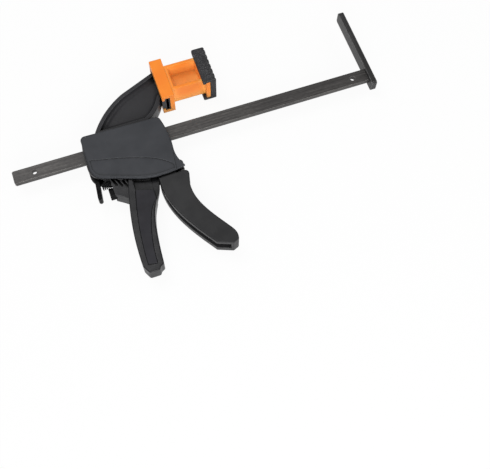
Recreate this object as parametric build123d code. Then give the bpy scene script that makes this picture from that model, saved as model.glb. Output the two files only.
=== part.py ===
from build123d import *
import math
import os

# One-hand trigger clamp for guide rails, lying flat on its far side.
# Working frame: x runs along the bar towards the fixed jaw, from the rear edge of the covers;
# y runs from the bar's centre line towards the jaws; z runs up, from the bar's middle plane.

# Fits and general clearances
cut_overrun = 1.0
slide_clearance = 0.25
seat_gap = 0.05
running_clearance = 0.06

# Steel bar, made from flat stock
bar_height = 15.0
bar_thickness = 6.0
bar_rear_reach = 79.0
bar_front_reach = 328.6
bar_end_chamfer = 1.2
bar_hole_radius = 2.9
bar_rear_hole_inset = 23.0
bar_front_hole_inset = 17.0

# Fixed jaw across the bar's front end, from the same stock
jaw_thickness = 6.0
jaw_width = 15.0
jaw_rise = 87.0
jaw_tail = 16.0
jaw_end_chamfer = 1.6
tenon_height = 11.0

# Covers and the housing between them
cover_length = 97.5
cover_rise = 20.0
cover_drop = 52.0
cover_thickness = 2.5
cover_corner_radius = 5.0
cover_tip_radius = 1.5
cover_heel_radius = 17.0
cover_edge_radius = 2.0
cover_step_depth = 0.8
cover_step_inset = 2.6
wing_depth = 0.9
housing_half_width = 10.0
housing_inset = 0.8
rear_rim = 2.4
rear_rim_top = 16.0
rear_rim_full = 6.0
bay_clearance = 0.75
top_wall = 5.0
front_wall = 4.2
guide_thickness = 7.0
lever_bay = 12.0
fulcrum_ledge = 10.8
ledge_drop = 9.0
chamber_depth = 40.0

# Arm with its rims and T-shaped head
arm_start = 15.0
arm_reach = 83.0
arm_rise = 56.5
arm_half_width = 9.0
arm_web_half_width = 3.0
arm_rim = 4.6
arm_edge_radius = 1.0
arm_dish_radius = 5.9
head_low = 37.0
head_high = 83.0
head_half_width = 11.5
head_thickness = 5.4
head_wall = 1.2
head_core = 9.0
neck_half_width = 8.0
neck_length = 3.4

# Pistol grip
grip_rear = 22.5
grip_front_ahead = 8.0
grip_length = 112.0
grip_half_width = 9.0
grip_edge_radius = 1.4
grip_corner_radius = 2.8
panel_thickness = 2.2
panel_groove = 0.6
sunk_half_width = 4.6
throat_half_width = 4.0
throat_setback = 7.0
throat_low = 78.0

# Rear block with the slanted slots, and the stop for the release tab let into it
block_rear = 18.0
block_length = 22.0
block_low = 66.0
block_high = 34.0
block_half_width = 8.0
slot_count = 4
slot_width = 2.8
slot_length = 13.0
slot_depth = 5.5
slot_pitch = 5.2
slot_fall = 2.6
slot_lean = 20.0
slot_first = 20.8
slot_level = 41.2
stop_rear = 12.6
stop_radius = 6.4
stop_wall = 1.7
stop_depth = 5.0
stop_length = 11.4
stop_level = 51.0

# Jaw-pad carrier
carrier_low = 36.2
carrier_high = 86.5
channel_half_width = 15.5
channel_wall = 5.0
channel_lip = 3.0
channel_stop = 3.2
box_length = 38.7
box_low = 45.0
box_high = 77.5
box_half_width = 13.0
box_wall = 3.2
box_web = 3.0
box_web_level = -6.5
flange_thickness = 4.4
flange_half_width = 14.6
flange_low = 39.6
flange_high = 82.0
carrier_edge_radius = 0.6

# Rubber pad
pad_low = 39.0
pad_high = 85.0
pad_half_width = 18.0
pad_front_wall = 6.6
pad_lip = 3.6
pad_edge_radius = 1.0
pad_corner_radius = 2.2
groove_count = 7
groove_width = 2.2
groove_depth = 1.2

# Trigger
trigger_setback = 16.0
trigger_depth = 60.0
trigger_low = 151.0
trigger_high = 53.0
trigger_half_width = 9.0
trigger_lever_half_width = 11.5
trigger_wall = 2.6
trigger_back = 4.5
trigger_shoulder = 5.0
trigger_slot_gap = 0.4
trigger_edge_radius = 1.2
trigger_corner_radius = 2.4
shoulder_radius = 4.0
cheek_radius = 5.6
cheek_gap = 0.34
cheek_foot_setback = 12.0
cheek_foot_ahead = 5.0
trigger_pivot_drop = 13.0
trigger_pin_radius = 3.0
trigger_pin_socket = 1.6

# Drive plates, their pin and spring
drive_plate_thickness = 3.4
drive_plate_setback = 7.0
drive_plate_half_width = 6.0
drive_plate_rise = 12.5
drive_plate_drop = 37.0
drive_plate_corner = 2.0
drive_plate_gap = 0.1
drive_pin_radius = 2.5
drive_pin_drop = 32.5
drive_pin_gap = 0.15
drive_spring_radius = 8.95
drive_spring_wire = 0.5
drive_spring_turns = 8

# Brake lever, its fulcrum pin and spring
brake_thickness = 4.6
brake_half_width = 7.0
brake_tab_half_width = 5.0
brake_rise = 13.5
brake_tab_drop = 56.5
brake_shoulder_drop = 30.0
brake_tilt = 6.0
brake_pin_radius = 2.0
brake_pin_drop = 16.0
brake_spring_radius = 4.2
brake_spring_wire = 0.5
brake_spring_turns = 5
brake_spring_level = 39.0
brake_spring_room = 0.4
spring_seat_wall = 1.5
spring_end_gap = 0.3

# Cover screws, put in from the far side
screw_radius = 1.4
screw_core_radius = 1.45
screw_head_radius = 2.8
screw_head_height = 1.7
screw_recess_width = 0.9
screw_recess_depth = 1.0
screw_tip = 7.0
post_radius = 3.0
post_end = 0.4
boss_radius = 4.6

# Outlines as shares of the spans named above
cover_shares = {
    "rear_top": (0.0, 1.0), "front_top": (0.902, 0.972), "front_bow": (0.943, 0.694),
    "front_waist": (0.944, 0.389), "tip": (1.01, 0.049), "low_bow": (0.74, 0.0),
    "low_turn": (0.451, 0.069), "rear_low": (0.0, 0.286),
}
step_shares = {
    "rear": (0.03, 0.565), "dip": (0.25, 0.5), "crest": (0.52, 0.4), "bend": (0.714, 0.294),
    "front": (0.89, 0.11),
}
wing_shares = {"top": (0.918, 0.3), "foot": (0.885, -0.1), "outside": (1.1, -0.1), "corner": (1.1, 0.3)}
arm_shares = {
    "outer_foot": (0.0, 0.0), "outer_bow": (0.21, 0.4), "outer_turn": (0.518, 0.72),
    "outer_end": (1.0, 1.0), "inner_end": (1.0, 0.415),
    "inner_bow": (0.92, 0.228), "inner_foot": (0.72, 0.0),
}
grip_shares = {
    "rear_top": (0.32, 1.0), "rear_neck": (0.13, 0.6875), "rear_bow": (0.026, 0.411),
    "rear_low": (0.006, 0.07), "heel": (0.098, 0.0), "toe": (0.356, 0.0), "toe_step": (0.402, 0.029),
    "front_low": (0.49, 0.045), "front_bow": (0.565, 0.357), "front_mid": (0.714, 0.607),
    "front_neck": (0.96, 0.81), "front_top": (1.0, 1.0),
}
panel_shares = {
    "rear_top": (0.384, 0.842), "rear_bow": (0.22, 0.532), "rear_low": (0.12, 0.075),
    "front_low": (0.361, 0.06), "front_bow": (0.385, 0.215), "front_mid": (0.501, 0.452),
    "front_rise": (0.668, 0.62), "front_neck": (0.8, 0.69), "front_top": (0.8, 0.79),
}
trigger_shares = {
    "rear_top": (0.03, 0.988), "front_top": (0.563, 0.995), "knuckle": (0.566, 0.945),
    "front_neck": (0.517, 0.83), "front_bow": (0.601, 0.541), "front_low": (0.918, 0.214),
    "tip_bow": (0.988, 0.13), "tip": (0.982, 0.042), "toe": (0.875, 0.014), "heel": (0.605, 0.08),
    "rear_bow": (0.252, 0.425), "rear_neck": (0.024, 0.857),
}
block_shares = {
    "rear_top": (0.0, 1.0), "rear_low": (0.0, 0.3), "low_turn": (0.36, 0.13), "front_low": (0.6, 0.0),
    "front_end": (1.0, 0.5), "front_top": (1.0, 1.0),
}
screw_shares = ((0.3, 0.93), (0.83, 0.93), (0.945, 0.115), (0.3, 0.19))

# Places that follow from the sizes above
cover_outer = housing_half_width + cover_thickness
chamber_rear = lever_bay + guide_thickness
chamber_top = cover_rise - top_wall
arm_base = chamber_top + top_wall / 2
chamber_front = cover_length * cover_shares["front_bow"][0] - housing_inset - front_wall
trigger_pivot_x = chamber_front - cheek_radius - cheek_gap
cheek_foot_rear = trigger_pivot_x - cheek_foot_setback
cheek_foot_front = trigger_pivot_x + cheek_foot_ahead
trigger_rear = trigger_pivot_x - trigger_setback
throat_rear = trigger_rear - throat_setback
grip_depth = throat_rear + grip_front_ahead - grip_rear
drive_plate_front = trigger_pivot_x - drive_plate_setback
head_rear = arm_start + arm_reach + neck_length
head_front = head_rear + head_thickness
channel_rear = arm_start + arm_reach + seat_gap
channel_front = head_front + slide_clearance + channel_wall
box_front = channel_front + box_length
flange_front = box_front + flange_thickness
pad_rear = box_front - slide_clearance - pad_lip
pad_front = flange_front + slide_clearance + pad_front_wall
jaw_front = bar_front_reach + jaw_thickness
drive_plate_rear = drive_plate_front - 2 * drive_plate_thickness - drive_plate_gap
drive_pin_x = drive_plate_front + drive_pin_radius + drive_pin_gap
trigger_inner = trigger_half_width - trigger_wall
trigger_slot_half = throat_half_width + trigger_slot_gap
bay_half_width = brake_half_width + bay_clearance
panel_floor = grip_half_width - panel_thickness - seat_gap
window_height = bar_height + 2 * slide_clearance
window_width = bar_thickness + 2 * slide_clearance
brake_pin_x = fulcrum_ledge - brake_pin_radius / 4
brake_offset = brake_pin_radius + running_clearance + brake_thickness / 2
brake_spring_seat = chamber_rear - spring_seat_wall


def spots(shares, corner, span):
    """Turn an outline's shares into points, from a corner and a span."""
    return {name: (corner[0] + s[0] * span[0], corner[1] + s[1] * span[1]) for name, s in shares.items()}


def outline(*edges):
    """Make a face from edges that meet end to end."""
    return make_face(Curve() + list(edges))


def slab(face, low, high):
    """Raise a flat face into a solid from one height to another."""
    return extrude(Pos(0, 0, low) * face, amount=high - low, dir=(0, 0, 1))


def limits(x, y, z):
    """Make a block from its limits along each axis."""
    size = Box(x[1] - x[0], y[1] - y[0], z[1] - z[0])
    return Pos((x[0] + x[1]) / 2, (y[0] + y[1]) / 2, (z[0] + z[1]) / 2) * size


def upright(radius, x, y, low, high):
    """Make a round rod along z."""
    return Pos(x, y, (low + high) / 2) * Cylinder(radius, high - low)


def along_bar(radius, y, rear, front):
    """Make a round rod along x in the bar's middle plane."""
    return Pos((rear + front) / 2, y, 0) * Rot(0, 90, 0) * Cylinder(radius, front - rear)


def both_sides(solid):
    """Add the mirror image on the far side of the bar's middle plane."""
    return solid + mirror(solid, about=Plane.XY)


def round_corners(face, points, names, radius):
    """Round the named corners of an outline."""
    return fillet([face.vertices().sort_by_distance(points[name])[0] for name in names], radius)


def round_rims(solid, radius, joined):
    """Round the rims of the highest and lowest faces, apart from the edge at the joined level."""
    faces = solid.faces().filter_by(Axis.Z).sort_by(Axis.Z)
    rims = faces[0].edges() + faces[-1].edges()
    return fillet([edge for edge in rims if abs(edge.center().Y - joined) > cut_overrun], radius)


def cover_face():
    """Outline shared by both covers and, set in a little, by the housing."""
    p = spots(cover_shares, (0, -cover_drop), (cover_length, cover_rise + cover_drop))
    front = ThreePointArc(p["front_top"], p["front_bow"], p["front_waist"])
    low = ThreePointArc(p["tip"], p["low_bow"], p["low_turn"])
    face = outline(
        Line(p["rear_top"], p["front_top"]),
        front,
        TangentArc(p["front_waist"], p["tip"], tangent=front % 1),
        low,
        TangentArc(p["low_turn"], p["rear_low"], tangent=low % 1),
        Line(p["rear_low"], p["rear_top"]),
    )
    face = round_corners(face, p, ("rear_top", "front_top"), cover_corner_radius)
    face = round_corners(face, p, ("rear_low",), cover_heel_radius)
    return round_corners(face, p, ("tip",), cover_tip_radius)


def screw_places():
    """Centres of the cover screws."""
    corner = (0, -cover_drop)
    span = (cover_length, cover_rise + cover_drop)
    return [(corner[0] + s[0] * span[0], corner[1] + s[1] * span[1]) for s in screw_shares]


def step_face():
    """Part of the cover below its curved step line."""
    p = spots(step_shares, (0, -cover_drop), (cover_length, cover_rise + cover_drop))
    low = -cover_drop - cut_overrun
    return outline(
        Spline(p["rear"], p["dip"], p["crest"], p["bend"], p["front"]),
        Line(p["front"], (p["front"][0], low)),
        Line((p["front"][0], low), (p["rear"][0], low)),
        Line((p["rear"][0], low), p["rear"]),
    )


def wing_face():
    """Front tip of the cover, which is sunk below its main face."""
    p = spots(wing_shares, (0, -cover_drop), (cover_length, cover_rise + cover_drop))
    names = list(wing_shares)
    return outline(*[Line(p[a], p[b]) for a, b in zip(names, names[1:] + names[:1])])


def pin_socket():
    """Blind hole in a cover for the end of the trigger pin."""
    top = housing_half_width + trigger_pin_socket + seat_gap
    radius = trigger_pin_radius + running_clearance
    return upright(radius, trigger_pivot_x, -trigger_pivot_drop, housing_half_width - cut_overrun, top)


def plain_cover():
    """Cover plate on the near side, with a rounded rim and the pin's socket."""
    plate = slab(cover_face(), housing_half_width, cover_outer)
    plate = fillet(plate.faces().sort_by(Axis.Z)[-1].edges(), cover_edge_radius)
    return plate - pin_socket()


def near_cover():
    """Near cover with its stepped lower part and the posts that take the screws."""
    cover = plain_cover()
    step = step_face() & offset(cover_face(), amount=-cover_step_inset)
    cover -= slab(step, cover_outer - cover_step_depth, cover_outer + cut_overrun)
    cover -= slab(wing_face(), cover_outer - wing_depth, cover_outer + cut_overrun)
    for x, y in screw_places():
        cover += upright(post_radius, x, y, post_end, housing_half_width)
        cover -= upright(screw_core_radius, x, y, post_end - cut_overrun, housing_half_width - post_end)
    return cover


def far_cover():
    """Far cover with sunk holes for the screw heads."""
    cover = mirror(plain_cover(), about=Plane.XY)
    sunk = screw_head_height + seat_gap
    outside = -cover_outer - cut_overrun
    inside = cut_overrun - housing_half_width
    for x, y in screw_places():
        cover -= upright(screw_radius + slide_clearance, x, y, outside, inside)
        cover -= upright(screw_head_radius + slide_clearance, x, y, outside, sunk - cover_outer)
    return cover


def cover_screws():
    """Group of cross-head screws through the far cover into the near cover's posts."""
    screws = []
    for x, y in screw_places():
        head = upright(screw_head_radius, x, y, -cover_outer, screw_head_height - cover_outer)
        shank = upright(screw_radius, x, y, screw_head_height - cover_outer, screw_tip)
        half = screw_head_radius - screw_recess_width
        thin = screw_recess_width / 2
        floor = (-cover_outer - cut_overrun, screw_recess_depth - cover_outer)
        slot = limits((x - half, x + half), (y - thin, y + thin), floor)
        cross = limits((x - thin, x + thin), (y - half, y + half), floor)
        screws.append(head + shank - slot - cross)
    return Compound(children=screws)


def arm_points():
    """Corners of the arm's outline."""
    return spots(arm_shares, (arm_start, arm_base), (arm_reach, arm_rise + cover_rise - arm_base))


def arm_face():
    """Outline of the arm."""
    p = arm_points()
    return outline(
        ThreePointArc(p["outer_foot"], p["outer_bow"], p["outer_turn"]),
        Line(p["outer_turn"], p["outer_end"]),
        Line(p["outer_end"], p["inner_end"]),
        ThreePointArc(p["inner_end"], p["inner_bow"], p["inner_foot"]),
        Line(p["inner_foot"], p["outer_foot"]),
    )


def dish_face():
    """Room between the arm's rims, which runs on past the arm's end and foot."""
    p = arm_points()
    run = arm_rim + arm_dish_radius
    slope = (p["outer_end"][1] - p["outer_turn"][1]) / (p["outer_end"][0] - p["outer_turn"][0])
    outer_far = (p["outer_end"][0] + run, p["outer_end"][1] + slope * run)
    inner_far = (p["inner_end"][0] + run, p["inner_end"][1])
    end = Polygon(p["outer_end"], p["inner_end"], inner_far, outer_far, align=None)
    outer_low = (p["outer_foot"][0], arm_base - run)
    inner_low = (p["inner_foot"][0], arm_base - run)
    foot = Polygon(p["outer_foot"], p["inner_foot"], inner_low, outer_low, align=None)
    return offset(arm_face() + end + foot, amount=-arm_rim)


def arm():
    """Curved arm of I-section, dished on both sides, that carries the T-shaped head."""
    beam = round_rims(slab(arm_face(), -arm_half_width, arm_half_width), arm_edge_radius, arm_base)
    dish = slab(dish_face(), arm_web_half_width, arm_half_width + cut_overrun)
    dish = fillet(dish.faces().sort_by(Axis.Z)[0].edges(), arm_dish_radius)
    beam -= both_sides(dish)
    root = arm_start + arm_reach
    rise = (head_low, arm_points()["outer_end"][1])
    neck = limits((root, head_rear), rise, (-neck_half_width, neck_half_width))
    head = limits((head_rear, head_front), (head_low, head_high), (-head_half_width, head_half_width))
    core_half = head_half_width - head_wall
    core_rise = (head_low - cut_overrun, head_low + head_core)
    core = limits((head_rear + head_wall, head_front - head_wall), core_rise, (-core_half, core_half))
    return beam + neck + head - core


def grip_face():
    """Outline of the pistol grip."""
    p = spots(grip_shares, (grip_rear, -chamber_depth - grip_length), (grip_depth, grip_length))
    face = outline(
        Spline(p["rear_top"], p["rear_neck"], p["rear_bow"], p["rear_low"]),
        Line(p["rear_low"], p["heel"]),
        Line(p["heel"], p["toe"]),
        Line(p["toe"], p["toe_step"]),
        Line(p["toe_step"], p["front_low"]),
        Spline(p["front_low"], p["front_bow"], p["front_mid"], p["front_neck"], p["front_top"]),
        Line(p["front_top"], p["rear_top"]),
    )
    sharp = ("rear_low", "heel", "toe", "toe_step", "front_low")
    return round_corners(face, p, sharp, grip_corner_radius)


def panel_face(gap=0):
    """Outline of the grip's side panel, below the throat that the trigger sweeps, less a gap all round."""
    p = spots(panel_shares, (grip_rear, -chamber_depth - grip_length), (grip_depth, grip_length))
    for name, (x, y) in p.items():
        across = gap if name.startswith("rear") else -gap
        along = {"top": -gap, "low": gap}.get(name.split("_")[1], 0)
        p[name] = (x + across, y + along)
    p["front_top"] = (throat_rear - gap, p["front_top"][1])
    p["front_neck"] = (throat_rear - gap, p["front_neck"][1])
    return outline(
        Line(p["rear_top"], p["front_top"]),
        Line(p["front_top"], p["front_neck"]),
        Spline(p["front_neck"], p["front_rise"], p["front_mid"], p["front_bow"], p["front_low"]),
        Line(p["front_low"], p["rear_low"]),
        Spline(p["rear_low"], p["rear_bow"], p["rear_top"]),
    )


def grip_panel():
    """Near side panel, let into the grip."""
    panel = slab(panel_face(panel_groove), grip_half_width - panel_thickness, grip_half_width)
    return chamfer(panel.faces().sort_by(Axis.Z)[-1].edges(), slide_clearance)


def neck_face():
    """Part of the grip between its side panel and the housing."""
    p = spots(panel_shares, (grip_rear, -chamber_depth - grip_length), (grip_depth, grip_length))
    return Polygon(
        p["rear_top"],
        (throat_rear, p["front_top"][1]),
        (throat_rear, -chamber_depth),
        (p["rear_top"][0], -chamber_depth),
        align=None,
    )


def grip():
    """Pistol grip with pockets for the side panels, sunk above them up to the housing."""
    body = slab(grip_face(), -grip_half_width, grip_half_width)
    body = round_rims(body, grip_edge_radius, -chamber_depth)
    body -= both_sides(slab(panel_face(), panel_floor, grip_half_width + cut_overrun))
    return body - both_sides(slab(neck_face(), sunk_half_width, grip_half_width + cut_overrun))


def throat():
    """Room on both sides of the grip's front edge for the trigger's walls."""
    front = cover_length + cut_overrun
    return both_sides(
        limits(
            (throat_rear, front),
            (-throat_low, -chamber_depth + cut_overrun),
            (throat_half_width, housing_half_width + cut_overrun),
        )
    )


def rear_block():
    """Block behind the grip with slanted slots and a seat for the tab's stop."""
    p = spots(block_shares, (block_rear, -block_low), (block_length, block_low - block_high))
    names = list(block_shares)
    face = outline(*[Line(p[a], p[b]) for a, b in zip(names, names[1:] + names[:1])])
    block = slab(face, -block_half_width, block_half_width)
    lean = Rot(0, 0, slot_lean - 90)
    for i in range(slot_count):
        place = Pos(slot_first + i * slot_pitch, -slot_level - i * slot_fall)
        slot = place * lean * SlotOverall(slot_length, slot_width)
        block -= both_sides(slab(slot, block_half_width - slot_depth, block_half_width + cut_overrun))
    seat_rear = block_rear - cut_overrun
    return block - along_bar(stop_radius + seat_gap, -stop_level, seat_rear, stop_rear + stop_length)


def tab_stop():
    """Round hollow-ended stop let into the block, across from the release tab."""
    stop = along_bar(stop_radius, -stop_level, stop_rear, stop_rear + stop_length)
    stop = fillet(stop.faces().sort_by(Axis.X)[0].edges(), stop_wall / 2)
    hollow_radius = stop_radius - stop_wall
    return stop - along_bar(hollow_radius, -stop_level, stop_rear - cut_overrun, stop_rear + stop_depth)


def housing_face():
    """Outline of the housing, a little inside the covers but standing out behind them as a rim."""
    face = offset(cover_face(), amount=-housing_inset)
    rim_room = Polygon(
        (-rear_rim, -rear_rim_full),
        (housing_inset, rear_rim_top),
        (lever_bay, rear_rim_top),
        (lever_bay, -cover_drop),
        (-rear_rim, -cover_drop),
        align=None,
    )
    return face + (Pos(-rear_rim, 0) * face & rim_room)


def housing():
    """Housing between the covers, with guides for the bar and a bay for the brake lever."""
    shell = slab(housing_face(), -housing_half_width, housing_half_width)
    depth = (-housing_half_width - cut_overrun, housing_half_width + cut_overrun)
    shell -= limits((chamber_rear, chamber_front), (-chamber_depth, chamber_top), depth)
    below = -cover_drop - cut_overrun
    shell -= limits((throat_rear, chamber_front), (below, cut_overrun - chamber_depth), depth)
    behind = -rear_rim - cut_overrun
    bay = (-bay_half_width, bay_half_width)
    shell -= limits((behind, lever_bay), (-ledge_drop, chamber_top), bay)
    shell -= limits((behind, fulcrum_ledge), (below, -ledge_drop), bay)
    return shell


def bar_slots():
    """Clear way for the bar through both guides."""
    half_height = window_height / 2
    half_width = window_width / 2
    return limits((-cut_overrun, cover_length), (-half_height, half_height), (-half_width, half_width))


def body_frame():
    """One moulding: housing, arm, pistol grip and rear block."""
    frame = housing() + arm() + grip() + rear_block()
    frame -= throat()
    depth = housing_half_width + cut_overrun
    for x, y in screw_places():
        frame += upright(boss_radius, x, y, -housing_half_width, housing_half_width)
        frame -= upright(post_radius + slide_clearance, x, y, 0, depth)
        frame -= upright(screw_radius + slide_clearance, x, y, -depth, cut_overrun)
    frame -= upright(brake_pin_radius + seat_gap, brake_pin_x, -brake_pin_drop, -depth, depth)
    return frame - bar_slots() - spring_room()


def spring_room():
    """Round groove in the housing's underside for the brake spring."""
    radius = brake_spring_radius + brake_spring_wire + brake_spring_room
    return along_bar(radius, -brake_spring_level, fulcrum_ledge - cut_overrun, brake_spring_seat)


def bar():
    """Flat steel bar with an open hole near each end and a tenon for the fixed jaw."""
    half = bar_height / 2
    thick = bar_thickness / 2
    strip = limits((-bar_rear_reach, bar_front_reach), (-half, half), (-thick, thick))
    strip = chamfer(strip.faces().sort_by(Axis.X)[0].edges().filter_by(Axis.Z), bar_end_chamfer)
    strip += limits((bar_front_reach, jaw_front), (-tenon_height / 2, tenon_height / 2), (-thick, thick))
    for x in (bar_rear_hole_inset - bar_rear_reach, bar_front_reach - bar_front_hole_inset):
        strip -= upright(bar_hole_radius, x, 0, -bar_thickness, bar_thickness)
    return strip


def fixed_jaw():
    """Straight jaw bar, mortised for the bar's tenon."""
    half = jaw_width / 2
    strip = limits((bar_front_reach, jaw_front), (-jaw_tail, jaw_rise), (-half, half))
    ends = strip.edges().filter_by(Axis.X)
    strip = chamfer(ends, jaw_end_chamfer)
    gap = seat_gap
    thick = bar_thickness / 2 + gap
    high = tenon_height / 2 + gap
    through = (bar_front_reach - cut_overrun, jaw_front + cut_overrun)
    return strip - limits(through, (-high, high), (-thick, thick))


def pad_carrier():
    """Moulded carrier: channel on the arm's head, hollow box and flange for the pad."""
    wide = channel_half_width
    part = limits((channel_rear, channel_front), (carrier_low, carrier_high), (-wide, wide))
    part = fillet(part.edges().filter_by(Axis.Y), carrier_edge_radius)
    stop = carrier_high - channel_stop
    room = head_half_width + slide_clearance
    low = carrier_low - cut_overrun
    part -= limits((channel_rear + channel_lip, head_front + slide_clearance), (low, stop), (-room, room))
    throat_room = neck_half_width + slide_clearance
    part -= limits((channel_rear - cut_overrun, head_front), (low, stop), (-throat_room, throat_room))
    part += limits((channel_front, box_front), (box_low, box_high), (-box_half_width, box_half_width))
    along = (channel_front + box_wall, box_front - box_wall)
    across = (box_low + box_wall, box_high - box_wall)
    outside = box_half_width + cut_overrun
    part -= limits(along, across, (box_web_level + box_web / 2, outside))
    part -= limits(along, across, (-outside, box_web_level - box_web / 2))
    flange = flange_half_width
    return part + limits((box_front, flange_front), (flange_low, flange_high), (-flange, flange))


def rubber_pad():
    """Ribbed pad that slides over the carrier's flange."""
    wide = pad_half_width
    pad = limits((pad_rear, pad_front), (pad_low, pad_high), (-wide, wide))
    pad = fillet(pad.edges().filter_by(Axis.Z).group_by(Axis.Y)[-1], pad_corner_radius)
    pad = fillet(pad.edges().filter_by(Axis.Y), pad_edge_radius)
    room = flange_half_width + slide_clearance
    low = pad_low - cut_overrun
    top = flange_high + slide_clearance
    pad -= limits((pad_rear + pad_lip, flange_front + slide_clearance), (low, top), (-room, room))
    neck = box_half_width + slide_clearance
    pad -= limits((pad_rear - cut_overrun, flange_front), (low, pad_high + cut_overrun), (-neck, neck))
    pitch = (pad_high - pad_low) / groove_count
    for i in range(groove_count):
        y = pad_low + (i + 1 / 2) * pitch
        across = (-wide - cut_overrun, wide + cut_overrun)
        band = (y - groove_width / 2, y + groove_width / 2)
        pad -= limits((pad_front - groove_depth, pad_front + cut_overrun), band, across)
    return pad


def trigger_face():
    """Side outline of the trigger below the covers."""
    p = spots(trigger_shares, (0, -trigger_low), (trigger_depth, trigger_low - trigger_high))
    face = outline(
        Line(p["rear_top"], p["front_top"]),
        Line(p["front_top"], p["knuckle"]),
        Line(p["knuckle"], p["front_neck"]),
        Spline(p["front_neck"], p["front_bow"], p["front_low"], p["tip_bow"], p["tip"]),
        Line(p["tip"], p["toe"]),
        Line(p["toe"], p["heel"]),
        Spline(p["heel"], p["rear_bow"], p["rear_neck"], p["rear_top"]),
    )
    face = round_corners(face, p, ("front_top",), shoulder_radius)
    sharp = ("knuckle", "front_neck", "tip", "toe", "heel")
    return round_corners(face, p, sharp, trigger_corner_radius)


def cheek_face():
    """One ear of the trigger, from its shoulder up to the pivot."""
    top = -trigger_pivot_drop
    foot = -trigger_high - trigger_shoulder
    ear = Polygon(
        (cheek_foot_rear, foot),
        (cheek_foot_front, foot),
        (trigger_pivot_x + cheek_radius, top),
        (trigger_pivot_x - cheek_radius, top),
        align=None,
    )
    return ear + Pos(trigger_pivot_x, top) * Circle(cheek_radius)


def trigger():
    """Trigger lever of U-section, forked round the bar above its shoulder."""
    lever = slab(trigger_face(), -trigger_lever_half_width, trigger_lever_half_width)
    lever = Pos(trigger_rear, 0) * round_rims(lever, trigger_edge_radius, -trigger_high)
    lever += slab(cheek_face(), -trigger_half_width, trigger_half_width)
    hollow = Pos(trigger_rear - trigger_back, 0) * trigger_face()
    lever -= slab(hollow, -trigger_slot_half, trigger_inner)
    lever -= fork_room()
    full = trigger_half_width + cut_overrun
    pivot_radius = trigger_pin_radius + running_clearance
    lever -= upright(pivot_radius, trigger_pivot_x, -trigger_pivot_drop, -full, full)
    return lever - upright(drive_pin_radius + seat_gap, drive_pin_x, -drive_pin_drop, -full, full)


def fork_room():
    """Open space between the trigger's ears."""
    across = (trigger_rear - cut_overrun, cheek_foot_front + cut_overrun)
    top = cheek_radius + cut_overrun - trigger_pivot_drop
    return limits(across, (-trigger_high - trigger_shoulder, top), (-trigger_inner, trigger_inner))


def drive_plates():
    """Two stacked steel plates that grip the bar when the trigger pushes them."""
    plates = []
    for i in range(2):
        front = drive_plate_front - i * (drive_plate_thickness + drive_plate_gap)
        span = (front - drive_plate_thickness, front)
        wide = drive_plate_half_width
        plate = limits(span, (-drive_plate_drop, drive_plate_rise), (-wide, wide))
        plate = fillet(plate.edges().filter_by(Axis.X), drive_plate_corner)
        plates.append(plate - bar_window(span))
    return plates


def bar_window(span):
    """Cut for the bar through a plate that stands square to it."""
    half_height = window_height / 2
    half_width = window_width / 2
    across = (span[0] - cut_overrun, span[1] + cut_overrun)
    return limits(across, (-half_height, half_height), (-half_width, half_width))


def brake_lever():
    """Tilted steel lever over the bar, with its release tab below the covers."""
    thick = brake_thickness / 2
    wide = brake_half_width
    top = brake_rise + brake_pin_drop
    shoulder = brake_pin_drop - brake_shoulder_drop
    tip = brake_pin_drop - brake_tab_drop
    upper = limits((-thick, thick), (shoulder, top), (-wide, wide))
    tab = limits((-thick, thick), (tip, shoulder), (-brake_tab_half_width, brake_tab_half_width))
    tab = fillet(tab.faces().sort_by(Axis.Y)[0].edges().filter_by(Axis.Z), thick - seat_gap)
    tilt = Rot(0, 0, -brake_tilt)
    lever = Pos(brake_pin_x, -brake_pin_drop) * tilt * Pos(-brake_offset, 0) * (upper + tab)
    slope = math.radians(brake_tilt)
    tall = (bar_height + brake_thickness * math.sin(slope)) / math.cos(slope) + 2 * slide_clearance
    wide_cut = window_width / 2
    centre = brake_pin_x + brake_pin_drop * math.tan(slope) - brake_offset / math.cos(slope)
    reach = brake_thickness
    window = limits((-reach, reach), (-tall / 2, tall / 2), (-wide_cut, wide_cut))
    return lever - Pos(centre, 0) * tilt * window


def helix_point(radius, pitch, angle):
    """Point and direction on a helix along x."""
    point = Vector(pitch * angle / (2 * math.pi), radius * math.cos(angle), radius * math.sin(angle))
    heading = Vector(pitch / (2 * math.pi), -radius * math.sin(angle), radius * math.cos(angle))
    return point, heading.normalized()


def biarc(start, start_heading, end, end_heading):
    """Two tangent arcs between two points with given directions."""
    chord = end - start
    both = start_heading + end_heading
    spread = 2 * (1 - start_heading.dot(end_heading))
    reach = chord.dot(both)
    arm_length = (math.sqrt(reach * reach + spread * chord.dot(chord)) - reach) / spread
    middle = (start + end + (start_heading - end_heading) * arm_length) * (1 / 2)
    heading = middle - (start + start_heading * arm_length)
    return [
        TangentArc(start, middle, tangent=start_heading),
        TangentArc(middle, end, tangent=heading.normalized()),
    ]


def coil(name, radius, wire, turns, rear, front, y):
    """Compression spring along x between two seats, as one unbroken tube of quarter turns."""
    length = front - rear - 2 * (wire + spring_end_gap)
    pitch = length / turns
    edges = []
    for i in range(4 * turns):
        start, start_heading = helix_point(radius, pitch, i * math.pi / 2)
        end, end_heading = helix_point(radius, pitch, (i + 1) * math.pi / 2)
        edges += biarc(start, start_heading, end, end_heading)
    first, heading = helix_point(radius, pitch, 0)
    section = Plane(origin=first, z_dir=heading) * Circle(wire)
    tube = sweep(section, path=Wire(edges))
    print(name, "least gap to itself", round(least_gap(radius, pitch, turns) - 2 * wire, 3))
    return Pos(rear + wire + spring_end_gap, y, 0) * tube


def least_gap(radius, pitch, turns):
    """Least distance between points of a helix that lie over half a turn apart."""
    steps = 24
    points = [helix_point(radius, pitch, 2 * math.pi * i / steps)[0] for i in range(steps * turns + 1)]
    pairs = [(a, b) for a in range(len(points)) for b in range(a + steps // 2, len(points))]
    return min((points[a] - points[b]).length for a, b in pairs)


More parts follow.
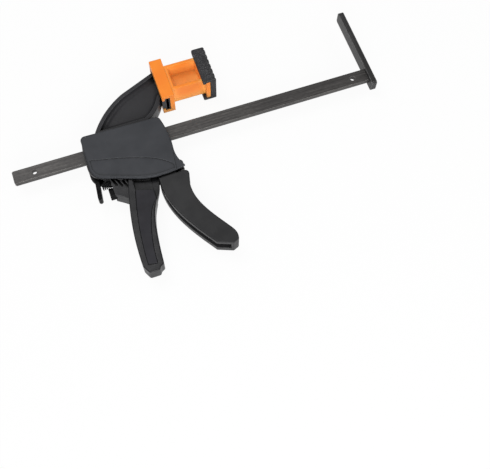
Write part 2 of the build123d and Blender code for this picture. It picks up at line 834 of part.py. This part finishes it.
def brake_face_at(level):
    """Place of the brake lever's front face at a level below the bar."""
    slope = math.radians(brake_tilt)
    face = brake_pin_x - (brake_pin_radius + running_clearance) / math.cos(slope)
    return face - (level - brake_pin_drop) * math.tan(slope)


def build():
    """Make every piece in the working frame."""
    front_plate, rear_plate = drive_plates()
    pin_half = housing_half_width + trigger_pin_socket
    drive_half = trigger_half_width
    pivot = (trigger_pivot_x, -trigger_pivot_drop)
    fulcrum = (brake_pin_x, -brake_pin_drop)
    pin_end = housing_half_width - seat_gap
    brake_seat = brake_face_at(brake_spring_level - brake_spring_radius)
    panel = grip_panel()
    return {
        "bar": bar(),
        "fixed_jaw": fixed_jaw(),
        "body_frame": body_frame(),
        "near_cover": near_cover(),
        "far_cover": far_cover(),
        "cover_screws": cover_screws(),
        "near_grip_panel": panel,
        "far_grip_panel": mirror(panel, about=Plane.XY),
        "pad_carrier": pad_carrier(),
        "rubber_pad": rubber_pad(),
        "trigger": trigger(),
        "trigger_pin": upright(trigger_pin_radius, *pivot, -pin_half, pin_half),
        "drive_pin": upright(drive_pin_radius, drive_pin_x, -drive_pin_drop, -drive_half, drive_half),
        "front_drive_plate": front_plate,
        "rear_drive_plate": rear_plate,
        "drive_spring": coil(
            "drive_spring", drive_spring_radius, drive_spring_wire, drive_spring_turns,
            chamber_rear, drive_plate_rear, 0,
        ),
        "brake_lever": brake_lever(),
        "brake_pin": upright(brake_pin_radius, *fulcrum, -pin_end, pin_end),
        "tab_stop": tab_stop(),
        "brake_spring": coil(
            "brake_spring", brake_spring_radius, brake_spring_wire, brake_spring_turns,
            brake_seat, brake_spring_seat, -brake_spring_level,
        ),
    }


# Set the origin at the middle of the bottom of the whole clamp, then write one file per piece.
pieces = build()
box = Compound(children=[Compound(children=p.solids()) for p in pieces.values()]).bounding_box()
origin_shift = (-box.center().X, -box.center().Y, -box.min.Z)
os.makedirs("parts", exist_ok=True)
for node, piece in pieces.items():
    placed = Pos(*origin_shift) * Compound(children=piece.solids())
    export_step(placed, os.path.join("parts", node + ".step"))
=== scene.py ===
import math

import bmesh
import bpy
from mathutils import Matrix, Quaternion, Vector


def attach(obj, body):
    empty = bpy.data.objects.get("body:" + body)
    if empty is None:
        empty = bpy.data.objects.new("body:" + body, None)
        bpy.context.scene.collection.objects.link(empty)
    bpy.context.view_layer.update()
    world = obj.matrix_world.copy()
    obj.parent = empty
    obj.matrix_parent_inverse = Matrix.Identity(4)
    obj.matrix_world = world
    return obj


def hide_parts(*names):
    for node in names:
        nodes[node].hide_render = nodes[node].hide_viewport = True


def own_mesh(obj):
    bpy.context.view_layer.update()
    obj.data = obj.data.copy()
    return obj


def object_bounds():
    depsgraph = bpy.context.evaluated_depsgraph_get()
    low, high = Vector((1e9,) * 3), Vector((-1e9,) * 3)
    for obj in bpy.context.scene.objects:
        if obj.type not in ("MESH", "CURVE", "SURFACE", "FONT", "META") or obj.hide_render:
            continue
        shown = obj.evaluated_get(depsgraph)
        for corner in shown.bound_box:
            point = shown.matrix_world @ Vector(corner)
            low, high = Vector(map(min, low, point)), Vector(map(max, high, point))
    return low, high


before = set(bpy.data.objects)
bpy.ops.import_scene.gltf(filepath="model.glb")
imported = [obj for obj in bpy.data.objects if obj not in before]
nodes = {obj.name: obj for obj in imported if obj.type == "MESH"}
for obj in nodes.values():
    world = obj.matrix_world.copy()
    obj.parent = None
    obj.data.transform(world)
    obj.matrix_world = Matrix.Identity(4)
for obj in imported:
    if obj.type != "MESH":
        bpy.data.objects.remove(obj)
cad_low, cad_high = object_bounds()

# Camera, set so that the clamp lies in the frame as it does in the photograph
camera_spot = Vector((-0.11459, -0.40395, 0.77400))
aim_spot = Vector((0.00496, -0.10790, 0.01800))
camera_roll = math.radians(2.757)
camera_lens = 57.95
sensor_width = 36.0

# Lamps and room light: watts, and metres for places and sizes
world_level = 0.42
key_power = 13.0
key_spot = Vector((-0.2, -1.22, 0.66))
key_size = 0.8
top_power = 6.5
top_spot = Vector((-0.35, 0.45, 1.3))
top_size = 0.7
fill_power = 2.0
fill_spot = Vector((1.0, -0.4, 0.7))
fill_size = 0.6

# Floor
floor_reach = 6.0
floor_parts = 8
floor_tone = (0.86, 0.86, 0.86, 1.0)
floor_glow_share = 0.93

# Soft edges and shade painted into gaps that finishes share, lengths in metres
edge_radius = 0.001
edge_samples = 6
gap_reach = 0.008
gap_samples = 8
gap_shade = 0.06

# Moulded plastic, lengths in metres
moulded_grain = 0.0006
moulded_grain_height = 0.00004
carrier_grain_height = 0.00002
moulded_flow = 0.03
moulded_wear = 0.004
moulded_gloss = 0.012
# How far the lighter orange painted into the carrier's pocket reaches, as painted light
pocket_light_reach = 0.022
# Span across the bar over which the body's colour rises, a painted highlight that lightens the arm
painted_light_span = (-0.03, 0.09)

# Drawn and plated steel, lengths in metres
drawn_line = 0.0005
drawn_line_height = 0.00003
drawn_streak = 0.0014
drawn_fleck = 0.0012
drawn_scale = 0.025
drawn_wear = 0.006
plated_mottle = 0.0025
plated_grain = 0.0006
plated_grain_height = 0.00002

# Rubber, lengths in metres
rubber_pebble = 0.0012
rubber_pebble_height = 0.00022
rubber_speck = 0.0011
rubber_dust = 0.008
rubber_wear = 0.003
rubber_voxel = 0.0005
rubber_smooth_factor = 0.5
rubber_smooth_rounds = 4
rubber_rough = (0.62, 0.85)
rubber_shine = 0.35

# Detail of the noise, and how many times longer its features are along drawn steel
detail_low = 2.0
detail_mid = 3.0
detail_usual = 4.0
detail_high = 5.0
line_stretch = 120.0
streak_stretch = 45.0
scale_stretch = 2.5
fleck_stretch = 3.0

# Parts of the ranges of noise, edge turn and openness that finishes are made from
noise_wide = (0.3, 0.7)
noise_mid = (0.35, 0.65)
noise_streak = (0.32, 0.68)
noise_speck = (0.48, 0.68)
noise_dust = (0.4, 0.65)
edge_turn = (0.995, 0.9)
gap_openness = (0.42, 0.92)


def node_tree(name):
    """Make an empty node material with a shader joined to its output."""
    material = bpy.data.materials.new(name)
    material.use_nodes = True
    tree = material.node_tree
    tree.nodes.clear()
    output = tree.nodes.new("ShaderNodeOutputMaterial")
    shader = tree.nodes.new("ShaderNodeBsdfPrincipled")
    tree.links.new(shader.outputs["BSDF"], output.inputs["Surface"])
    return material, tree, shader


def noise(tree, size, detail=detail_usual, stretch=(1.0, 1.0, 1.0)):
    """Add noise whose features are about the given size, stretched along the axes where asked."""
    place = tree.nodes.new("ShaderNodeTexCoord")
    mapping = tree.nodes.new("ShaderNodeMapping")
    mapping.inputs["Scale"].default_value = [1.0 / s for s in stretch]
    texture = tree.nodes.new("ShaderNodeTexNoise")
    texture.inputs["Scale"].default_value = 1.0 / size
    texture.inputs["Detail"].default_value = detail
    tree.links.new(place.outputs["Object"], mapping.inputs["Vector"])
    tree.links.new(mapping.outputs["Vector"], texture.inputs["Vector"])
    return texture.outputs["Fac"]


def spread(tree, value, low, high, to_low, to_high):
    """Map a range of values to another range."""
    remap = tree.nodes.new("ShaderNodeMapRange")
    remap.inputs["From Min"].default_value = low
    remap.inputs["From Max"].default_value = high
    remap.inputs["To Min"].default_value = to_low
    remap.inputs["To Max"].default_value = to_high
    tree.links.new(value, remap.inputs["Value"])
    return remap.outputs["Result"]


def blend_colours(tree, factor, first, second):
    """Mix two colours, each a fixed colour or another node's output."""
    mix = tree.nodes.new("ShaderNodeMix")
    mix.data_type = "RGBA"
    tree.links.new(factor, mix.inputs[0])
    for socket, colour in ((mix.inputs[6], first), (mix.inputs[7], second)):
        if isinstance(colour, tuple):
            socket.default_value = (*colour, 1.0)
        else:
            tree.links.new(colour, socket)
    return mix.outputs[2]


def combine(tree, operation, first, second):
    """Join two values by a sum or the like."""
    joined = tree.nodes.new("ShaderNodeMath")
    joined.operation = operation
    tree.links.new(first, joined.inputs[0])
    tree.links.new(second, joined.inputs[1])
    return joined.outputs["Value"]


def times(tree, first, second):
    """Multiply two values."""
    return combine(tree, "MULTIPLY", first, second)


def greater(tree, first, second):
    """Take the greater of two values."""
    return combine(tree, "MAXIMUM", first, second)


def rounded_edges(tree, radius):
    """Add soft edges, and a mask that is 1 along them."""
    bevel = tree.nodes.new("ShaderNodeBevel")
    bevel.samples = edge_samples
    bevel.inputs["Radius"].default_value = radius
    plain = tree.nodes.new("ShaderNodeNewGeometry")
    dot = tree.nodes.new("ShaderNodeVectorMath")
    dot.operation = "DOT_PRODUCT"
    tree.links.new(bevel.outputs["Normal"], dot.inputs[0])
    tree.links.new(plain.outputs["Normal"], dot.inputs[1])
    mask = spread(tree, dot.outputs["Value"], *edge_turn, 0.0, 1.0)
    return bevel.outputs["Normal"], mask


def paint_into_gaps(tree, colour, gap_colour, reach):
    """Paint a colour into gaps and corners that are narrower than the given reach: painted shade
    where the colour is darker, painted light where it is lighter.
    """
    shade = tree.nodes.new("ShaderNodeAmbientOcclusion")
    shade.samples = gap_samples
    shade.inputs["Distance"].default_value = reach
    openness = spread(tree, shade.outputs["AO"], *gap_openness, 0.0, 1.0)
    return blend_colours(tree, openness, gap_colour, colour)


def bump(tree, shader, height, distance, normal):
    """Give the shader a fine relief on top of its soft edges."""
    relief = tree.nodes.new("ShaderNodeBump")
    relief.inputs["Distance"].default_value = distance
    tree.links.new(height, relief.inputs["Height"])
    tree.links.new(normal, relief.inputs["Normal"])
    tree.links.new(relief.outputs["Normal"], shader.inputs["Normal"])


def rise_across(tree, low, high, top):
    """Add a value that rises from zero to the given top across the bar, from the grip to the arm,
    for a painted highlight that lightens the arm.
    """
    place = tree.nodes.new("ShaderNodeTexCoord")
    parts = tree.nodes.new("ShaderNodeSeparateXYZ")
    tree.links.new(place.outputs["Object"], parts.inputs["Vector"])
    return spread(tree, parts.outputs["Y"], low, high, 0.0, top)


def moulded(
    name,
    dark,
    light,
    edge,
    rough,
    shine,
    painted_gap_colour=None,
    reach=gap_reach,
    height=moulded_grain_height,
    flow_share=1.0,
):
    """Moulded plastic: a spark-eroded grain, faint marks where the melt ran, edges rubbed smooth and
    lighter (partly wear, partly a painted highlight), and painted shade in gaps and corners, or
    painted light there when a lighter colour is given.
    """
    material, tree, shader = node_tree(name)
    normal, mask = rounded_edges(tree, edge_radius)
    flow_and_painted_rise = spread(tree, noise(tree, moulded_flow, detail_mid), *noise_mid, 0.0, flow_share)
    # Where flow_share is below one, the rest of the tone rises from grip to arm as a painted
    # highlight
    if flow_share < 1.0:
        flow_and_painted_rise = combine(tree, "ADD", flow_and_painted_rise, rise_across(tree, *painted_light_span, 1.0 - flow_share))
    fine = noise(tree, moulded_grain, detail_low)
    body = blend_colours(tree, flow_and_painted_rise, dark, light)
    # Lighter edges, partly wear and partly a painted highlight
    edge_lightening = times(tree, mask, spread(tree, noise(tree, moulded_wear), *noise_wide, 0.35, 1.0))
    colour = blend_colours(tree, edge_lightening, body, edge)
    # Gaps and corners get painted shade, a darker copy of the colour, unless another colour is given
    painted_gap_colour = painted_gap_colour or tuple(gap_shade * part for part in dark)
    tree.links.new(paint_into_gaps(tree, colour, painted_gap_colour, reach), shader.inputs["Base Color"])
    gloss = spread(tree, noise(tree, moulded_gloss, detail_high), *noise_wide, *rough)
    tree.links.new(gloss, shader.inputs["Roughness"])
    shader.inputs["Specular IOR Level"].default_value = shine
    bump(tree, shader, fine, height, normal)
    return material


def lengthwise(axis, ratio):
    """Stretch for noise that runs along one axis."""
    return tuple(ratio if i == axis else 1.0 for i in range(3))


def drawn_steel(name, axis, dark, light, edge, rough, metallic):
    """Blackened flat stock: lengthwise drawing lines, scale in patches, and rubbed edges."""
    material, tree, shader = node_tree(name)
    normal, mask = rounded_edges(tree, edge_radius)
    lines = noise(tree, drawn_line, detail_mid, lengthwise(axis, line_stretch))
    broad = noise(tree, drawn_streak, detail_low, lengthwise(axis, streak_stretch))
    scale = noise(tree, drawn_scale, detail_high, lengthwise(axis, scale_stretch))
    streaks = times(
        tree,
        spread(tree, lines, *noise_wide, 0.5, 1.0),
        spread(tree, broad, *noise_streak, 0.25, 1.0),
    )
    specks = noise(tree, drawn_fleck, detail_low, lengthwise(axis, fleck_stretch))
    flecks = spread(tree, specks, *noise_wide, 0.55, 1.25)
    patches = times(tree, spread(tree, scale, *noise_mid, 0.6, 1.0), flecks)
    body = blend_colours(tree, times(tree, streaks, patches), dark, light)
    edge_lightening = times(tree, mask, spread(tree, noise(tree, drawn_wear), *noise_mid, 0.2, 1.0))
    tree.links.new(blend_colours(tree, edge_lightening, body, edge), shader.inputs["Base Color"])
    tree.links.new(spread(tree, lines, *noise_wide, *rough), shader.inputs["Roughness"])
    shader.inputs["Metallic"].default_value = metallic
    bump(tree, shader, lines, drawn_line_height, normal)
    return material


def plated(name, dark, light, rough):
    """Plated or oiled steel with a faint crystal mottle."""
    material, tree, shader = node_tree(name)
    normal, mask = rounded_edges(tree, edge_radius / 2)
    mottle = spread(tree, noise(tree, plated_mottle), *noise_mid, 0.0, 1.0)
    tree.links.new(blend_colours(tree, mottle, dark, light), shader.inputs["Base Color"])
    tree.links.new(spread(tree, mask, 0.0, 1.0, *rough), shader.inputs["Roughness"])
    shader.inputs["Metallic"].default_value = 1.0
    bump(tree, shader, noise(tree, plated_grain, detail_mid), plated_grain_height, normal)
    return material


def rubber(name, dark, light, edge):
    """Matt rubber with a pebbled skin, a little dust on it, and edges rubbed grey."""
    material, tree, shader = node_tree(name)
    normal, mask = rounded_edges(tree, edge_radius)
    pebble = noise(tree, rubber_pebble, detail_low)
    dust = times(
        tree,
        spread(tree, noise(tree, rubber_speck), *noise_speck, 0.0, 1.0),
        spread(tree, noise(tree, rubber_dust, detail_mid), *noise_dust, 0.35, 1.0),
    )
    dusty = blend_colours(tree, dust, dark, light)
    edge_lightening = times(tree, mask, spread(tree, noise(tree, rubber_wear), *noise_mid, 0.2, 1.0))
    tree.links.new(blend_colours(tree, edge_lightening, dusty, edge), shader.inputs["Base Color"])
    tree.links.new(spread(tree, pebble, *noise_wide, *rubber_rough), shader.inputs["Roughness"])
    shader.inputs["Specular IOR Level"].default_value = rubber_shine
    bump(tree, shader, pebble, rubber_pebble_height, normal)
    return material


# Materials, with their colours in linear light
bar_steel = drawn_steel(
    "bar_steel",
    axis=0,
    dark=(0.023, 0.0215, 0.0215),
    light=(0.124, 0.117, 0.112),
    edge=(0.24, 0.23, 0.22),
    rough=(0.38, 0.58),
    metallic=0.35,
)
jaw_steel = drawn_steel(
    "jaw_steel",
    axis=1,
    dark=(0.0115, 0.0115, 0.0118),
    light=(0.062, 0.061, 0.061),
    edge=(0.2, 0.2, 0.2),
    rough=(0.38, 0.58),
    metallic=0.35,
)
body_plastic = moulded(
    "body_plastic",
    dark=(0.0104, 0.0104, 0.0116),
    light=(0.0312, 0.0307, 0.034),
    edge=(0.11, 0.11, 0.114),
    rough=(0.3, 0.44),
    shine=0.22,
    # Most of the body's tone change is a painted highlight that lightens the arm
    flow_share=0.3,
)
cover_plastic = moulded(
    "cover_plastic",
    dark=(0.034, 0.036, 0.041),
    light=(0.043, 0.045, 0.051),
    edge=(0.12, 0.124, 0.132),
    rough=(0.46, 0.6),
    shine=0.22,
)
panel_plastic = moulded(
    "panel_plastic",
    dark=(0.0185, 0.018, 0.0215),
    light=(0.026, 0.0254, 0.0305),
    edge=(0.045, 0.045, 0.048),
    rough=(0.45, 0.6),
    shine=0.16,
)
trigger_plastic = moulded(
    "trigger_plastic",
    dark=(0.0175, 0.0175, 0.0185),
    light=(0.0275, 0.0275, 0.0285),
    edge=(0.16, 0.16, 0.164),
    rough=(0.36, 0.5),
    shine=0.18,
)
carrier_plastic = moulded(
    "carrier_plastic",
    dark=(0.9, 0.215, 0.012),
    light=(0.96, 0.275, 0.02),
    edge=(1.0, 0.38, 0.06),
    rough=(0.34, 0.48),
    shine=0.35,
    # Lighter orange painted into the pocket, as painted light
    painted_gap_colour=(1.0, 0.5, 0.12),
    reach=pocket_light_reach,
    height=carrier_grain_height,
)
pad_rubber = rubber(
    "pad_rubber",
    dark=(0.018, 0.018, 0.02),
    light=(0.12, 0.12, 0.125),
    edge=(0.2, 0.2, 0.205),
)
plated_steel = plated(
    "plated_steel",
    dark=(0.42, 0.42, 0.43),
    light=(0.62, 0.62, 0.63),
    rough=(0.3, 0.2),
)
lever_steel = plated(
    "lever_steel",
    dark=(0.005, 0.005, 0.0053),
    light=(0.013, 0.013, 0.0135),
    rough=(0.5, 0.36),
)
spring_steel = plated(
    "spring_steel",
    dark=(0.012, 0.012, 0.0125),
    light=(0.035, 0.035, 0.036),
    rough=(0.42, 0.3),
)
# Near-black stop: a black part, painted darker still as shade of the opening around it
stop_black_painted_shade = moulded(
    "stop_black_painted_shade",
    dark=(0.003, 0.003, 0.0031),
    light=(0.006, 0.006, 0.0062),
    edge=(0.012, 0.012, 0.0123),
    rough=(0.5, 0.65),
    shine=0.1,
)

finishes = {
    "bar": bar_steel,
    "fixed_jaw": jaw_steel,
    "body_frame": body_plastic,
    "near_cover": cover_plastic,
    "far_cover": cover_plastic,
    "cover_screws": plated_steel,
    "near_grip_panel": panel_plastic,
    "far_grip_panel": panel_plastic,
    "pad_carrier": carrier_plastic,
    "trigger": trigger_plastic,
    "trigger_pin": plated_steel,
    "drive_pin": plated_steel,
    "front_drive_plate": plated_steel,
    "rear_drive_plate": plated_steel,
    "drive_spring": spring_steel,
    "brake_lever": lever_steel,
    "brake_pin": plated_steel,
    "tab_stop": stop_black_painted_shade,
    "brake_spring": spring_steel,
}
for name, material in finishes.items():
    nodes[name].data.materials.clear()
    nodes[name].data.materials.append(material)


def moulded_pad():
    """Rubber pad with softened ribs and corners, in the place of its plain solid."""
    source = nodes["rubber_pad"]
    pad = bpy.data.objects.new("moulded_rubber_pad", source.data.copy())
    bpy.context.scene.collection.objects.link(pad)
    remesh = pad.modifiers.new("skin", "REMESH")
    remesh.mode = "VOXEL"
    remesh.voxel_size = rubber_voxel
    remesh.use_smooth_shade = True
    smooth = pad.modifiers.new("soft", "SMOOTH")
    smooth.factor = rubber_smooth_factor
    smooth.iterations = rubber_smooth_rounds
    pad.data.materials.clear()
    pad.data.materials.append(pad_rubber)
    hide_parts("rubber_pad")
    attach(pad, "body")


def pressed_coil(node):
    """Coil spring copied with a mesh of its own in the place of its plain solid, fixed to the body.
    """
    coil = bpy.data.objects.new("pressed_" + node, nodes[node].data.copy())
    bpy.context.scene.collection.objects.link(coil)
    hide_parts(node)
    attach(coil, "body")
    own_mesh(coil)


def floor():
    """Pale floor that looks white to the camera and keeps a soft shadow."""
    mesh = bpy.data.meshes.new("floor")
    shape = bmesh.new()
    bmesh.ops.create_grid(shape, x_segments=floor_parts, y_segments=floor_parts, size=floor_reach)
    shape.to_mesh(mesh)
    shape.free()
    plane = bpy.data.objects.new("floor", mesh)
    bpy.context.scene.collection.objects.link(plane)
    material = bpy.data.materials.new("floor")
    material.use_nodes = True
    tree = material.node_tree
    tree.nodes.clear()
    output = tree.nodes.new("ShaderNodeOutputMaterial")
    matt = tree.nodes.new("ShaderNodeBsdfDiffuse")
    matt.inputs["Color"].default_value = floor_tone
    glow = tree.nodes.new("ShaderNodeEmission")
    path = tree.nodes.new("ShaderNodeLightPath")
    seen = path.outputs["Is Camera Ray"]
    for ray in ("Is Glossy Ray", "Is Transmission Ray"):
        seen = greater(tree, seen, path.outputs[ray])
    share = spread(tree, seen, 0.0, 1.0, 0.0, floor_glow_share)
    mix = tree.nodes.new("ShaderNodeMixShader")
    tree.links.new(share, mix.inputs["Fac"])
    tree.links.new(matt.outputs["BSDF"], mix.inputs[1])
    tree.links.new(glow.outputs["Emission"], mix.inputs[2])
    tree.links.new(mix.outputs["Shader"], output.inputs["Surface"])
    mesh.materials.append(material)


def lamp(name, spot, size, power):
    """Square soft lamp aimed at the middle of the clamp."""
    data = bpy.data.lights.new(name, "AREA")
    data.size = size
    data.energy = power
    light = bpy.data.objects.new(name, data)
    light.location = spot
    middle = (cad_low + cad_high) / 2
    light.rotation_mode = "QUATERNION"
    light.rotation_quaternion = (middle - spot).to_track_quat("-Z", "Y")
    bpy.context.scene.collection.objects.link(light)


def studio():
    """Even room light with three soft lamps."""
    world = bpy.data.worlds.new("studio")
    world.use_nodes = True
    background = world.node_tree.nodes["Background"]
    background.inputs["Color"].default_value = (1.0, 1.0, 1.0, 1.0)
    background.inputs["Strength"].default_value = world_level
    bpy.context.scene.world = world
    lamp("key", key_spot, key_size, key_power)
    lamp("top", top_spot, top_size, top_power)
    lamp("fill", fill_spot, fill_size, fill_power)
    bpy.context.scene.view_settings.view_transform = "Standard"


def camera():
    """Camera at the photograph's angle."""
    data = bpy.data.cameras.new("camera")
    data.lens = camera_lens
    data.sensor_width = sensor_width
    view = bpy.data.objects.new("camera", data)
    view.location = camera_spot
    view.rotation_mode = "QUATERNION"
    aim = (aim_spot - camera_spot).to_track_quat("-Z", "Y")
    view.rotation_quaternion = aim @ Quaternion((0.0, 0.0, 1.0), camera_roll)
    bpy.context.scene.collection.objects.link(view)
    bpy.context.scene.camera = view


moulded_pad()
pressed_coil("drive_spring")
pressed_coil("brake_spring")
floor()
studio()
camera()
